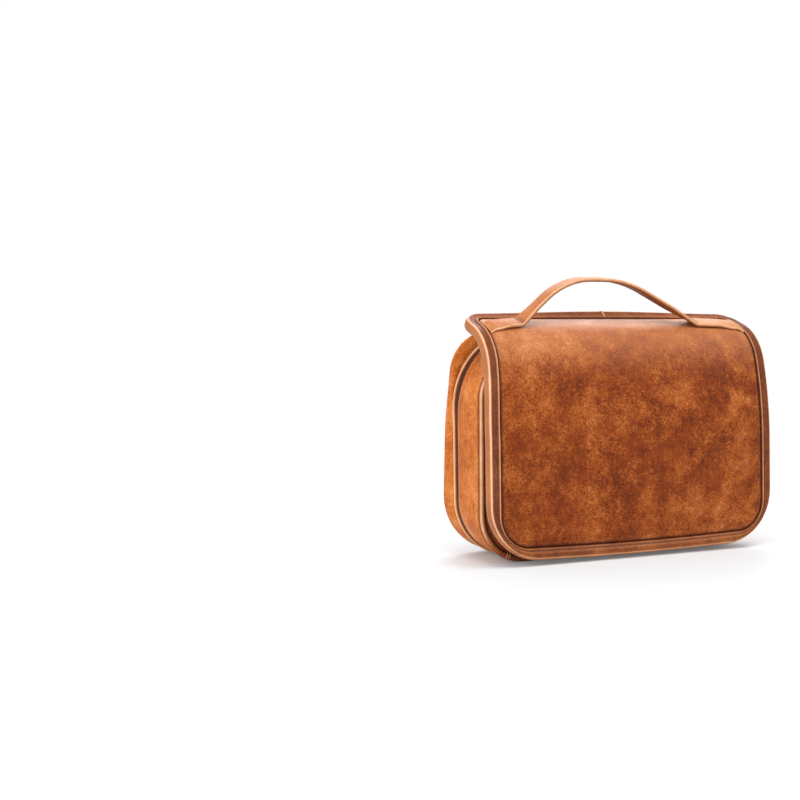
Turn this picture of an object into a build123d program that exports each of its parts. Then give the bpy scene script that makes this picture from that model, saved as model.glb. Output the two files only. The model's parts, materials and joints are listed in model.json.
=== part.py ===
from build123d import *
from math import cos, radians, sin, tan
import os

os.makedirs("parts", exist_ok=True)

# A soft toiletry bag: a zipped clamshell body, a bound cover that is fixed along the top
# and hangs down over the front, and a strap handle on the cover.
# X runs across the bag, Y from the flap to the back, Z up. The origin is the middle of the
# footprint, on the floor. Lengths are millimetres and angles are degrees.

# Overall size
overall_depth = 98.0
cover_width = 268.0
body_overhang = 2.0

# Body loops, seen from the front: the piped front edge, the zipper, the rounded back edge
front_loop_top = 165.0
front_loop_radii = (39.0, 32.0)
zip_loop_top = 190.0
zip_loop_radii = (48.0, 68.0)
rear_loop_top = 189.0
rear_loop_bottom = 2.0
rear_loop_radii = (50.0, 34.0)
rear_loop_overhang = 3.0

# Where the loops stand, counted back from the flap's face
front_loop_depth = 24.0
front_lean = 1.2
zip_depth = 68.7
rear_lean = 4.5
rear_edge_radius = 9.0
rear_edge_steps = 3

# Body layers
leather = 2.2
lining = 1.0
board = 1.4
piping_radius = 2.5
piping_sides = 8
base_trim = 0.3
front_bulge = 7.0
front_bulge_foot = 6.0
crown_half_width = 98.0
crown_bottom = 32.0
crown_top = 128.0
crown_radius = 26.0
seam_gap = 0.3
rear_shell_lift = 0.4
hinge_strip_reach = 4.3
hinge_strip_height = 1.3

# Zipper: two rows of coil between the leather edges
zip_opening = 5.0
coil_slot = 1.2
coil_turn = 2.2
coil_pitch = 5.0
coil_height = 1.6
coil_inset = 0.4
tape_width = 0.4
tape_height = 1.2
zip_end_margin = 3.0

# Pocket on the inside of the back
pocket_half_width = 96.0
pocket_bottom = 14.0
pocket_top = 112.0
pocket_depth = 9.0
pocket_sheet = 1.0
pocket_corner = 18.0
hem_height = 9.0
hem_thickness = 1.0

# Cover, seen from the side: the flap hangs straight, leans back and bends over to the top
cover_thickness = 8.0
hem_clearance = 6.4
flap_knee_height = 126.6
flap_lean = 12.3
bend_corner_height = 183.0
spine_rise = 23.0
spine_rear_depth = 56.5
knee_radius = 320.0
bend_radius = 44.0
flap_corner_radius = 43.6
spine_corner_radius = 17.0
binding_width = 9.5
binding = 0.8
cover_leather = 1.6
cover_lining = 1.2
hinge_gap = 0.2
cover_overrun = 20.0

# Seam that holds the cover on the body
seat_half_width = 62.0
seat_width = 9.0

# Handle strap
strap_width = 15.0
strap_thickness = 3.2
strap_tilt = 8.0
strap_depth = 33.0
strap_end_depth = 29.0
strap_root_height = 193.5
handle_left_root = -91.0
handle_left_shoulder = -49.0
handle_right_shoulder = 7.5
handle_right_root = 79.0
handle_crest = 229.0
handle_break_height = 203.0
handle_gap = 0.3
left_shoulder_radius = 60.0
right_shoulder_radius = 100.0

# Snaps between the flap and the body
snap_radius = 7.5
snap_spacing = 128.0
snap_height = 60.0
snap_socket = 2.6
snap_running_gap = 0.4
snap_rim = 1.2
snap_stud_radius = 2.5
snap_chamfer = 0.4

# Zipper sliders and their pulls
slider_spacing = 15.0
slider_length = 10.0
slider_plate = 1.2
slider_outer_width = 8.4
slider_inner_width = 3.2
slider_running_gap = 0.45
slider_post = (2.6, 0.6)
bridge_width = 2.4
bridge_height = 3.4
bridge_wall = 1.1
pull_length = 26.0
pull_width = 8.0
pull_thickness = 1.3
pull_pin_radius = 0.7
pull_eye_gap = 0.5
pull_pin_gap = 0.3

# Values worked out from the ones above
front_face = -overall_depth / 2
body_half_width = cover_width / 2 - body_overhang
front_loop_y = front_face + front_loop_depth
zip_y = front_face + zip_depth
front_zip_edge = zip_y - zip_opening / 2
rear_zip_edge = zip_y + zip_opening / 2
spine_rear_y = front_face + spine_rear_depth
rear_foot_z = rear_loop_bottom + rear_edge_radius
rear_foot_y = overall_depth / 2 + rear_foot_z * sin(radians(rear_lean))


def leaning_plane(y, lean, forward=0.0):
    """A plane that faces the front of the bag and leans back or forth about the floor line."""
    normal = Vector(0, -cos(radians(lean)), -sin(radians(lean)))
    return Plane(origin=Vector(0, y, 0) + normal * forward, x_dir=(1, 0, 0), z_dir=normal)


front_plane = leaning_plane(front_loop_y, front_lean)


def outline(half_width, bottom, top, radii, inset=0.0):
    """A rounded outline whose bottom and top corners have their own radii."""
    low_radius, high_radius = radii
    half = half_width - inset
    low, high = bottom + inset, top - inset
    corners = [(-half, low), (half, low), (half, high), (-half, high)]
    turns = [low_radius - inset] * 2 + [high_radius - inset] * 2
    with BuildSketch() as shape:
        with BuildLine():
            FilletPolyline(*corners, radius=turns, close=True)
        make_face()
    return shape.sketch


def front_outline(inset=0.0, lift=0.0):
    return outline(body_half_width, lift, front_loop_top, front_loop_radii, inset)


def zip_outline(inset=0.0, lift=0.0):
    return outline(body_half_width, lift, zip_loop_top, zip_loop_radii, inset)


def rear_outline(inset=0.0):
    half = body_half_width - rear_loop_overhang
    return outline(half, rear_loop_bottom, rear_loop_top, rear_loop_radii, inset)


def front_tub(inset, forward, lift=0.0):
    """The space between the front and zipper loops, behind a plane, shrunk at its walls."""
    with BuildPart() as tub:
        with BuildSketch(front_plane):
            add(front_outline(inset, lift))
        with BuildSketch(Plane.XZ.offset(-front_zip_edge)):
            add(zip_outline(inset, lift))
        loft(ruled=True)
        split(bisect_by=leaning_plane(front_loop_y, front_lean, forward), keep=Keep.BOTTOM)
    return tub.part


def rear_tub(inset, forward):
    """The space in front of a plane in the rear shell, whose back has a rounded edge."""
    radius = rear_edge_radius - inset
    with BuildPart() as tub:
        for step in range(rear_edge_steps + 1):
            turn = radians(90 * step / rear_edge_steps)
            rise, draw_in = radius * (1 - cos(turn)), radius * (1 - sin(turn))
            with BuildSketch(leaning_plane(rear_foot_y, rear_lean, inset + rise)):
                add(rear_outline(inset + draw_in))
        with BuildSketch(Plane.XZ.offset(-rear_zip_edge)):
            add(zip_outline(inset, rear_shell_lift))
        loft(ruled=True)
        if forward > inset:
            split(bisect_by=leaning_plane(rear_foot_y, rear_lean, forward), keep=Keep.TOP)
    return tub.part


# Front shell: a gusset wall, a piped front panel with padding behind it, a board and a lining
with BuildPart() as front_gusset:
    add(front_tub(0, -piping_radius, -base_trim))
    split(bisect_by=Plane.XY, keep=Keep.TOP)
    add(front_tub(leather, -piping_radius), mode=Mode.SUBTRACT)
front_gusset.part.label = "front_gusset"

with BuildPart() as front_piping:
    with BuildLine(front_plane):
        half = body_half_width - piping_radius
        low, high = piping_radius, front_loop_top - piping_radius
        corners = [(0, low), (half, low), (half, high), (-half, high), (-half, low)]
        low_turn, high_turn = [radius - piping_radius for radius in front_loop_radii]
        turns = [0, low_turn, high_turn, high_turn, low_turn]
        FilletPolyline(*corners, radius=turns, close=True)
    cord_start = front_plane.from_local_coords((0, piping_radius, 0))
    with BuildSketch(Plane(origin=cord_start, z_dir=(1, 0, 0))):
        half_side = 180 / piping_sides
        RegularPolygon(piping_radius, piping_sides, major_radius=False, rotation=half_side)
    sweep()
front_piping.part.label = "front_piping"


def front_crown(swell):
    """The stuffed swelling of the front panel, between its foot and its flat crown."""
    grow = swell / 2
    radii = (crown_radius + grow, crown_radius + grow)
    with BuildPart() as crown:
        with BuildSketch(front_plane):
            add(front_outline(2 * piping_radius + front_bulge_foot - swell))
        with BuildSketch(leaning_plane(front_loop_y, front_lean, front_bulge + swell)):
            add(outline(crown_half_width + grow, crown_bottom - grow, crown_top + grow, radii))
        loft(ruled=True)
    return crown.part


with BuildPart() as front_padding:
    add(front_crown(0))
front_padding.part.label = "front_padding"

with BuildPart() as front_panel:
    with BuildSketch(leaning_plane(front_loop_y, front_lean, -leather)):
        add(front_outline(2 * piping_radius))
    extrude(amount=leather)
    add(front_crown(leather))
    add(front_padding.part, mode=Mode.SUBTRACT)
front_panel.part.label = "front_panel"

with BuildPart() as front_board:
    with BuildSketch(leaning_plane(front_loop_y, front_lean, -leather - board)):
        add(front_outline(2 * piping_radius))
    extrude(amount=board)
front_board.part.label = "front_board"

lining_face = -leather - board

with BuildPart() as front_lining:
    add(front_tub(leather, lining_face))
    add(front_tub(leather + lining, lining_face - lining), mode=Mode.SUBTRACT)
front_lining.part.label = "front_lining"

# Rear shell: a gusset wall and a back panel that share one rounded form, a board and a lining
with BuildPart() as rear_panel:
    with BuildSketch(leaning_plane(rear_foot_y, rear_lean)):
        add(rear_outline(rear_edge_radius))
    extrude(amount=leather)
rear_panel.part.label = "rear_panel"

with BuildPart() as rear_gusset:
    add(rear_tub(0, 0))
    add(rear_tub(leather, 0), mode=Mode.SUBTRACT)
    add(rear_panel.part, mode=Mode.SUBTRACT)
rear_gusset.part.label = "rear_gusset"

with BuildPart() as rear_board:
    with BuildSketch(leaning_plane(rear_foot_y, rear_lean, leather)):
        add(rear_outline(rear_edge_radius + leather))
    extrude(amount=board)
rear_board.part.label = "rear_board"

rear_lining_face = leather + board

with BuildPart() as rear_lining:
    add(rear_tub(leather, rear_lining_face))
    add(rear_tub(leather + lining, rear_lining_face + lining), mode=Mode.SUBTRACT)
rear_lining.part.label = "rear_lining"

# Pocket: a sheet that stands off the back lining and is open at its top, with a hem
pocket_face = rear_lining_face + lining


def pocket_space(inset, top, depth):
    with BuildPart() as space:
        with BuildSketch(leaning_plane(rear_foot_y, rear_lean, pocket_face)):
            add(outline(pocket_half_width, pocket_bottom, top + inset, (pocket_corner, inset), inset))
        extrude(amount=depth)
    return space.part


with BuildPart() as rear_pocket:
    add(pocket_space(0, pocket_top, pocket_depth))
    add(pocket_space(pocket_sheet, pocket_top + 1, pocket_depth - pocket_sheet), mode=Mode.SUBTRACT)
rear_pocket.part.label = "rear_pocket"

with BuildPart() as rear_pocket_hem:
    with BuildSketch(leaning_plane(rear_foot_y, rear_lean, pocket_face + pocket_depth)):
        with Locations((0, pocket_top - hem_height / 2)):
            Rectangle(2 * pocket_half_width, hem_height)
    extrude(amount=hem_thickness)
rear_pocket_hem.part.label = "rear_pocket_hem"

# Zipper: each half is a narrow tape edge that carries one row of coil turns
zip_end_x = body_half_width - zip_loop_radii[0] - zip_end_margin
coil_mid = coil_inset + coil_height / 2
coil_reach = zip_opening / 2 - tape_width - coil_slot / 2

with BuildLine(Plane.XZ.offset(-zip_y)) as chain:
    half = body_half_width - coil_mid
    low, high = coil_mid, zip_loop_top - coil_mid
    end = zip_end_x
    low_turn, high_turn = [radius - coil_mid for radius in zip_loop_radii]
    corners = [(end, low), (half, low), (half, high), (-half, high), (-half, low), (-end, low)]
    FilletPolyline(*corners, radius=[low_turn, high_turn, high_turn, low_turn])
chain_wire = chain.wires()[0]
turn_count = int(chain_wire.length / coil_pitch)
turn_steps = [(index + 0.5) / turn_count for index in range(turn_count)]


def zip_half(leather_edge, side, lift):
    """One half of the chain, on the front (-1) or the rear (1) side of the zipper's middle."""
    tape_back = max(leather_edge, leather_edge - side * tape_width)
    coil_middle = zip_y + side * (coil_slot + coil_reach) / 2
    with BuildPart() as row:
        with BuildSketch(Plane.XZ.offset(-tape_back)):
            add(zip_outline(leather - tape_height, lift))
            add(zip_outline(leather, lift), mode=Mode.SUBTRACT)
            Rectangle(2 * zip_end_x, 4 * leather, mode=Mode.SUBTRACT)
        extrude(amount=tape_width)
        frames = []
        for step in turn_steps:
            spot, along = chain_wire.position_at(step), chain_wire.tangent_at(step)
            middle = (spot.X, coil_middle, spot.Z + lift)
            frames.append(Plane(origin=middle, x_dir=(0, 1, 0), z_dir=along))
        with Locations(*frames):
            Box(coil_reach, coil_height, coil_turn)
    return row.part


with BuildPart() as front_zipper:
    add(zip_half(front_zip_edge, -1, 0))
front_zipper.part.label = "front_zipper"

with BuildPart() as rear_zipper:
    add(zip_half(rear_zip_edge, 1, rear_shell_lift))
rear_zipper.part.label = "rear_zipper"

# Hinge strip: joins the two shells along the floor, between the zipper's ends
with BuildPart() as hinge_strip:
    with BuildSketch(Plane.YZ):
        with Locations((front_zip_edge, 0)):
            Rectangle(hinge_strip_reach, hinge_strip_height, align=(Align.MIN, Align.MIN))
    extrude(amount=zip_end_x - seam_gap, both=True)
hinge_strip.part.label = "hinge_strip"

# Cover: a padded, bound sheet that runs from the flap's hem over the bend to the rear edge
lean_in = Vector(cos(radians(flap_lean)), -sin(radians(flap_lean)))
rise_in = Vector(sin(radians(spine_rise)), -cos(radians(spine_rise)))
bend_corner_y = front_face + (bend_corner_height - flap_knee_height) * tan(radians(flap_lean))
bend_in = (lean_in + rise_in) / (1 + lean_in.dot(rise_in))
knee_in = (Vector(1, 0) + lean_in) / (1 + lean_in.X)


def cover_path(depth):
    """The corners of the cover's side view, as deep under its outer face as given."""
    hem = Vector(front_face + depth, hem_clearance - cover_overrun)
    knee = Vector(front_face, flap_knee_height) + knee_in * depth
    bend = Vector(bend_corner_y, bend_corner_height) + bend_in * depth
    run = (spine_rear_y + cover_overrun - bend.X) / cos(radians(spine_rise))
    rear = bend + Vector(cos(radians(spine_rise)), sin(radians(spine_rise))) * run
    return [hem, knee, bend, rear]


def cover_layer(start, thickness, inset):
    """A layer of the cover, counted from its outer face, inside its outline less an inset."""
    end = start + thickness
    with BuildPart() as layer:
        with BuildSketch(Plane.YZ):
            with BuildLine():
                outer_turns = [knee_radius - start, bend_radius - start]
                inner_turns = [knee_radius - end, bend_radius - end]
                outer = FilletPolyline(*cover_path(start), radius=outer_turns)
                inner = FilletPolyline(*cover_path(end), radius=inner_turns)
                Line(outer @ 0, inner @ 0)
                Line(outer @ 1, inner @ 1)
            make_face()
        extrude(amount=cover_width, both=True)
        with BuildSketch(Plane.XZ):
            above = hem_clearance + 2 * cover_width
            corner = (flap_corner_radius, flap_corner_radius)
            add(outline(cover_width / 2, hem_clearance, above, corner, inset))
        extrude(amount=cover_width, both=True, mode=Mode.INTERSECT)
        with BuildSketch(Plane.XY):
            corner = (spine_corner_radius, spine_corner_radius)
            add(outline(cover_width / 2, -cover_width, spine_rear_y, corner, inset))
        extrude(amount=2 * cover_width, mode=Mode.INTERSECT)
    return layer.part


bend_centre = cover_path(bend_radius)[2]
bend_middle = bend_in.normalized()
hinge_point = bend_centre - bend_middle * bend_radius
hinge_normal = Vector(0, -bend_middle.Y, bend_middle.X)
hinge_plane = Plane(origin=(0, hinge_point.X, hinge_point.Y), x_dir=(1, 0, 0), z_dir=hinge_normal)
flap_cut = hinge_plane.offset(-hinge_gap / 2)
spine_cut = hinge_plane.offset(hinge_gap / 2)

stack = cover_thickness - 2 * binding
padding_start = binding + cover_leather
padding_depth = stack - cover_leather - cover_lining
lining_start = padding_start + padding_depth
cover_stack = cover_layer(binding, stack, binding)
cover_field = cover_layer(-binding, cover_thickness + 2 * binding, binding_width)
cover_layers = {
    "panel": cover_layer(binding, cover_leather, binding),
    "padding": cover_layer(padding_start, padding_depth, binding),
    "lining": cover_layer(lining_start, cover_lining, binding),
}

with BuildPart() as flap_panel:
    add(cover_layers["panel"])
    split(bisect_by=flap_cut, keep=Keep.BOTTOM)
flap_panel.part.label = "flap_panel"

with BuildPart() as flap_padding:
    add(cover_layers["padding"])
    split(bisect_by=flap_cut, keep=Keep.BOTTOM)
flap_padding.part.label = "flap_padding"

with BuildPart() as flap_lining:
    add(cover_layers["lining"])
    split(bisect_by=flap_cut, keep=Keep.BOTTOM)
flap_lining.part.label = "flap_lining"

with BuildPart() as cover_binding:
    add(cover_layer(0, cover_thickness, 0))
    add(cover_stack, mode=Mode.SUBTRACT)
    add(cover_field, mode=Mode.SUBTRACT)

with BuildPart() as flap_binding:
    add(cover_binding.part)
    split(bisect_by=flap_cut, keep=Keep.BOTTOM)
flap_binding.part.label = "flap_binding"

with BuildPart() as spine_panel:
    add(cover_layers["panel"])
    split(bisect_by=spine_cut, keep=Keep.TOP)
spine_panel.part.label = "spine_panel"

with BuildPart() as spine_padding:
    add(cover_layers["padding"])
    split(bisect_by=spine_cut, keep=Keep.TOP)
spine_padding.part.label = "spine_padding"

with BuildPart() as spine_lining:
    add(cover_layers["lining"])
    split(bisect_by=spine_cut, keep=Keep.TOP)
spine_lining.part.label = "spine_lining"

with BuildPart() as spine_binding:
    add(cover_binding.part)
    split(bisect_by=spine_cut, keep=Keep.TOP)
spine_binding.part.label = "spine_binding"


def spine_height(y, depth):
    """The height of the spine's layer at a depth, on its straight rise."""
    bend = cover_path(depth)[2]
    return bend.Y + (y - bend.X) * tan(radians(spine_rise))


def body_top_height(y):
    """The height of the front gusset's flat top."""
    start = front_plane.from_local_coords((0, front_loop_top, 0))
    share = (y - start.Y) / (front_zip_edge - start.Y)
    return start.Z + share * (zip_loop_top - start.Z)


# Seat: the sewn strip that holds the cover on the body's flat top
with BuildPart() as spine_seat:
    with BuildSketch(Plane.YZ):
        with BuildLine():
            high_y = spine_rear_y - binding_width - seam_gap
            low_y = high_y - seat_width
            deep = cover_thickness - binding
            Polyline(
                (low_y, body_top_height(low_y)),
                (high_y, body_top_height(high_y)),
                (high_y, spine_height(high_y, deep)),
                (low_y, spine_height(low_y, deep)),
                close=True,
            )
        make_face()
    extrude(amount=seat_half_width, both=True)
spine_seat.part.label = "spine_seat"

# Handle: a strap that arches between two ends sewn flat on the spine
strap_slope = {
    -1: (handle_crest - strap_root_height) / (handle_left_shoulder - handle_left_root),
    1: (handle_crest - strap_root_height) / (handle_right_root - handle_right_shoulder),
}
strap_break_x = {
    -1: handle_left_root + (handle_break_height - strap_root_height) / strap_slope[-1],
    1: handle_right_root - (handle_break_height - strap_root_height) / strap_slope[1],
}
strap_foot_y = front_face + strap_depth + strap_root_height * tan(radians(strap_tilt))
strap_plane = leaning_plane(strap_foot_y, strap_tilt)
strap_break_y = strap_foot_y - handle_break_height * tan(radians(strap_tilt))
up = 1 / cos(radians(strap_tilt))

with BuildPart() as handle_strap:
    with BuildSketch(strap_plane):
        with BuildLine():
            FilletPolyline(
                (handle_left_root, strap_root_height * up),
                (handle_left_shoulder, handle_crest * up),
                (handle_right_shoulder, handle_crest * up),
                (handle_right_root, strap_root_height * up),
                radius=[left_shoulder_radius, right_shoulder_radius],
            )
        trace(line_width=strap_thickness)
    extrude(amount=strap_width / 2, both=True)
    split(bisect_by=Plane.YZ.offset(strap_break_x[-1] + handle_gap / 2), keep=Keep.TOP)
    split(bisect_by=Plane.YZ.offset(strap_break_x[1] - handle_gap / 2), keep=Keep.BOTTOM)
handle_strap.part.label = "handle_strap"


def strap_section(x, y, z, tilt, thickness):
    """The strap's cross-section, square to X."""
    with BuildSketch(Plane(origin=(x, y, z), x_dir=(0, 1, 0), z_dir=(1, 0, 0))) as section:
        Rectangle(strap_width, thickness, rotation=tilt)
    return section.sketch


def handle_end(side):
    """One sewn end of the strap: flat on the spine, then turned up towards the arch."""
    end_x = side * (cover_width / 2 - binding_width - seam_gap)
    root_x = handle_left_root if side < 0 else handle_right_root
    break_x = strap_break_x[side] + side * handle_gap / 2
    end_y = front_face + strap_end_depth
    root_y = front_face + strap_depth
    above = binding - strap_thickness / 2
    steep = strap_thickness * (1 + strap_slope[side] ** 2) ** 0.5
    with BuildPart() as strap_end:
        add(strap_section(end_x, end_y, spine_height(end_y, above), spine_rise, strap_thickness))
        add(strap_section(root_x, root_y, spine_height(root_y, above), spine_rise, strap_thickness))
        add(strap_section(break_x, strap_break_y, handle_break_height, strap_tilt, steep))
        loft(ruled=True)
    return strap_end.part


with BuildPart() as handle_end_left:
    add(handle_end(-1))
handle_end_left.part.label = "handle_end_left"

with BuildPart() as handle_end_right:
    add(handle_end(1))
handle_end_right.part.label = "handle_end_right"

# Snaps: a socket on the flap's lining and a stud on the swelling of the front panel
snap_socket_y = front_face + cover_thickness - binding
snap_face_y = front_loop_y - snap_height * tan(radians(front_lean))
stud_base = front_bulge + leather
stud_rise = snap_face_y - snap_socket_y - snap_socket - snap_running_gap - stud_base


def flap_snap(x):
    with BuildPart() as socket:
        with BuildSketch(Plane.XZ.offset(-snap_socket_y - snap_socket)):
            with Locations((x, snap_height)):
                Circle(snap_radius)
                Circle(snap_stud_radius + snap_running_gap, mode=Mode.SUBTRACT)
        extrude(amount=snap_socket)
        chamfer(socket.edges().filter_by(GeomType.CIRCLE).sort_by(Axis.Y)[-1:], snap_chamfer)
    return socket.part


def front_snap(x):
    with BuildPart() as stud:
        with BuildSketch(leaning_plane(front_loop_y, front_lean, stud_base)):
            with Locations((x, snap_height)):
                Circle(snap_radius)
        extrude(amount=stud_rise)
        with BuildSketch(leaning_plane(front_loop_y, front_lean, stud_base + stud_rise)):
            with Locations((x, snap_height)):
                Circle(snap_stud_radius)
        extrude(amount=snap_rim)
    return stud.part


with BuildPart() as flap_snap_left:
    add(flap_snap(-snap_spacing / 2))
flap_snap_left.part.label = "flap_snap_left"

with BuildPart() as flap_snap_right:
    add(flap_snap(snap_spacing / 2))
flap_snap_right.part.label = "flap_snap_right"

with BuildPart() as front_snap_left:
    add(front_snap(-snap_spacing / 2))
front_snap_left.part.label = "front_snap_left"

with BuildPart() as front_snap_right:
    add(front_snap(snap_spacing / 2))
front_snap_right.part.label = "front_snap_right"

# Zipper sliders: parked head to head in the middle of the top run
coil_top = zip_loop_top - coil_inset + rear_shell_lift
coil_bottom = zip_loop_top - coil_inset - coil_height
plate_low = coil_top + slider_running_gap
plate_high = plate_low + slider_plate
keel_high = coil_bottom - slider_running_gap
bridge_half = slider_length / 2 - bridge_wall
pin_z = plate_high + (bridge_height - bridge_wall) / 2
pin_offset = bridge_half - bridge_wall - pull_pin_radius - pull_pin_gap


def slider_block(x, low, height, length, width):
    """A flat piece of a slider, with rounded ends."""
    with BuildPart() as block:
        with BuildSketch(Plane.XY.offset(low)):
            with Locations((x, zip_y)):
                RectangleRounded(length, width, width / 4)
        extrude(amount=height)
    return block.part


def slider(side):
    x = side * slider_spacing / 2
    with BuildPart() as body:
        add(slider_block(x, plate_low, slider_plate, slider_length, slider_outer_width))
        add(slider_block(x, keel_high - slider_plate, slider_plate, slider_length, slider_inner_width))
        with BuildSketch(Plane.XY.offset(keel_high)):
            with Locations((x, zip_y)):
                Rectangle(*slider_post)
        extrude(amount=plate_low - keel_high)
        with BuildSketch(Plane.XZ.offset(-zip_y)):
            with Locations((x, plate_high)):
                Rectangle(2 * bridge_half, bridge_height, align=(Align.CENTER, Align.MIN))
                window = (2 * (bridge_half - bridge_wall), bridge_height - bridge_wall)
                Rectangle(*window, align=(Align.CENTER, Align.MIN), mode=Mode.SUBTRACT)
        extrude(amount=bridge_width / 2, both=True)
    return body.part


def pull(side):
    """The pull of one slider: a pin under the bridge, two arms past it and a long tab."""
    pin_x = side * (slider_spacing / 2 + pin_offset)
    eye_x = side * (bridge_half - pin_offset + bridge_height / 2 + pull_eye_gap)
    arm_inner = bridge_width / 2 + pull_eye_gap
    with BuildPart() as tab:
        with BuildSketch(Plane.XY.offset(pin_z - pull_thickness / 2)):
            with Locations((pin_x + side * pull_length / 2, zip_y)):
                RectangleRounded(pull_length, pull_width, pull_width / 3)
            with Locations((pin_x + eye_x / 2, zip_y)):
                Rectangle(2 * abs(eye_x), 2 * arm_inner, mode=Mode.SUBTRACT)
        extrude(amount=pull_thickness)
        with Locations(Location((pin_x, zip_y, pin_z), (90, 0, 0))):
            Cylinder(pull_pin_radius, pull_width - pull_thickness)
    return tab.part


with BuildPart() as slider_left:
    add(slider(-1))
slider_left.part.label = "slider_left"

with BuildPart() as slider_right:
    add(slider(1))
slider_right.part.label = "slider_right"

with BuildPart() as pull_left:
    add(pull(-1))
pull_left.part.label = "pull_left"

with BuildPart() as pull_right:
    add(pull(1))
pull_right.part.label = "pull_right"

pieces = [
    front_gusset, front_piping, front_padding, front_panel, front_board, front_lining, front_zipper,
    hinge_strip, rear_gusset, rear_panel, rear_board, rear_lining, rear_pocket, rear_pocket_hem,
    rear_zipper, flap_panel, flap_padding, flap_lining, flap_binding, spine_panel, spine_padding,
    spine_lining, spine_binding, spine_seat, handle_strap, handle_end_left, handle_end_right,
    flap_snap_left, flap_snap_right, front_snap_left, front_snap_right,
    slider_left, slider_right, pull_left, pull_right,
]
for piece in pieces:
    export_step(piece.part, f"parts/{piece.part.label}.step")
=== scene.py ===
# %% [markdown]
# # A leather-look toiletry bag
# This lesson dresses a CAD model of a soft toiletry bag. The bag stands on a white floor: a
# zipped body in two shells, a padded cover that is fixed along the top and hangs down over the
# front, and a strap handle. The CAD gives the places and the joints. Blender gives the soft
# forms, the seams and the leather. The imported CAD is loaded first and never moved.

# %% Load the frame
import json
import math

import bpy
import bmesh
from mathutils import Matrix, Vector, noise


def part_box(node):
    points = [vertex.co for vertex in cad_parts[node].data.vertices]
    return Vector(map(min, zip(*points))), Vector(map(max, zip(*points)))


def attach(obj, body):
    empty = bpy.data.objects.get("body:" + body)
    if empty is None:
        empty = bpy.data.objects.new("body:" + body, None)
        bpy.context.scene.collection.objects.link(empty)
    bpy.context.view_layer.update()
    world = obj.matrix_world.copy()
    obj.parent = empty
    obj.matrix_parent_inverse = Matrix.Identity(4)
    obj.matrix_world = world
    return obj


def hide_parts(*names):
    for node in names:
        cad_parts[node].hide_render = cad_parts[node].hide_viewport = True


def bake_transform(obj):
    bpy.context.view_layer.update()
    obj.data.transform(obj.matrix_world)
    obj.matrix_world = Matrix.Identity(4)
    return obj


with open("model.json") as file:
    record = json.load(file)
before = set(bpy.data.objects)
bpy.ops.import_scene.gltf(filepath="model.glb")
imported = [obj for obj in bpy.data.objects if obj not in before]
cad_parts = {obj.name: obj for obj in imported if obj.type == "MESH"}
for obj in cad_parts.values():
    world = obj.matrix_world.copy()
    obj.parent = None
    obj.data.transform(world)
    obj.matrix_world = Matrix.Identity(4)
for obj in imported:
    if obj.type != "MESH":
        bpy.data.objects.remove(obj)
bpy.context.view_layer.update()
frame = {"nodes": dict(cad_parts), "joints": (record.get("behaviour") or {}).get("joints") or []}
MM = 0.001

# %% [markdown]
# ## Sizes from the frame
# A seam has to lie where the CAD has it, so the driving sizes are read from the boxes of the CAD
# nodes. Only what a box can't tell, such as a corner's radius or a lean, is written here again.

# %% Read the sizes
flap_low, flap_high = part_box("flap_binding")
rear_low, rear_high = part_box("rear_gusset")
gusset_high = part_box("front_gusset")[1]
spine_rear_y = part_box("spine_binding")[1].y
front_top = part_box("front_piping")[1].z
pocket_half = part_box("rear_pocket")[1].x

hem_height, face_y = flap_low.z, flap_low.y
body_half, zip_top = gusset_high.x, gusset_high.z
front_zip_y, rear_zip_y = gusset_high.y, rear_low.y
zip_y = (front_zip_y + rear_zip_y) / 2

# Slack leather stands a little wider than the solids, each outline by its own amount.
cover_half = flap_high.x + 1.0 * MM
front_half = body_half + 1.2 * MM
rear_half = body_half + 3.5 * MM

piping_radius, rear_edge_radius = 2.5 * MM, 9 * MM
rear_bottom, rear_top = 2 * MM, 189 * MM
front_lean, rear_lean = math.radians(1.2), math.radians(4.5)
front_foot_y = face_y + 25.5 * MM
rear_foot_y = rear_high.y + (rear_bottom + rear_edge_radius) * math.sin(rear_lean)
front_radii, zip_radii, rear_radii = (39 * MM, 32 * MM), (48 * MM, 68 * MM), (50 * MM, 34 * MM)
print(f"cover {2000 * cover_half:.0f} mm wide, zipper plane at {zip_y * 1000:.1f} mm")

# %% [markdown]
# ## Loops
# Every seam of this bag is a rounded loop: the piping, the zipper, the back edge and the cover's
# outline. One function samples such a loop with the same count of points each time, so any two
# loops can be joined into a skin. Each point also carries the direction that faces out of it.

# %% Loop helpers
BOTTOM_STEPS, CORNER_STEPS, SIDE_STEPS = 44, 16, 30


def loop(half, low, high, low_radius, high_radius, inset=0.0, side_steps=SIDE_STEPS):
    """Points (x, z) and outward directions round a rounded outline, from its lower left on."""
    half, low, high = half - inset, low + inset, high - inset
    low_radius, high_radius = low_radius - inset, high_radius - inset
    corners = [
        (half - low_radius, low + low_radius, low_radius, -90),
        (half - high_radius, high - high_radius, high_radius, 0),
        (high_radius - half, high - high_radius, high_radius, 90),
        (low_radius - half, low + low_radius, low_radius, 180),
    ]
    points = []
    for index, (x, z, radius, start) in enumerate(corners):
        before = corners[index - 1]
        turn = math.radians(start)
        facing = Vector((math.cos(turn), math.sin(turn)))
        last = Vector((before[0], before[1])) + facing * before[2]
        first = Vector((x, z)) + facing * radius
        steps = side_steps if index % 2 else BOTTOM_STEPS
        points += [(last.lerp(first, step / steps), facing) for step in range(steps)]
        for step in range(CORNER_STEPS):
            turn = math.radians(start + 90 * step / CORNER_STEPS)
            facing = Vector((math.cos(turn), math.sin(turn)))
            points.append((Vector((x, z)) + facing * radius, facing))
    return points


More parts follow.
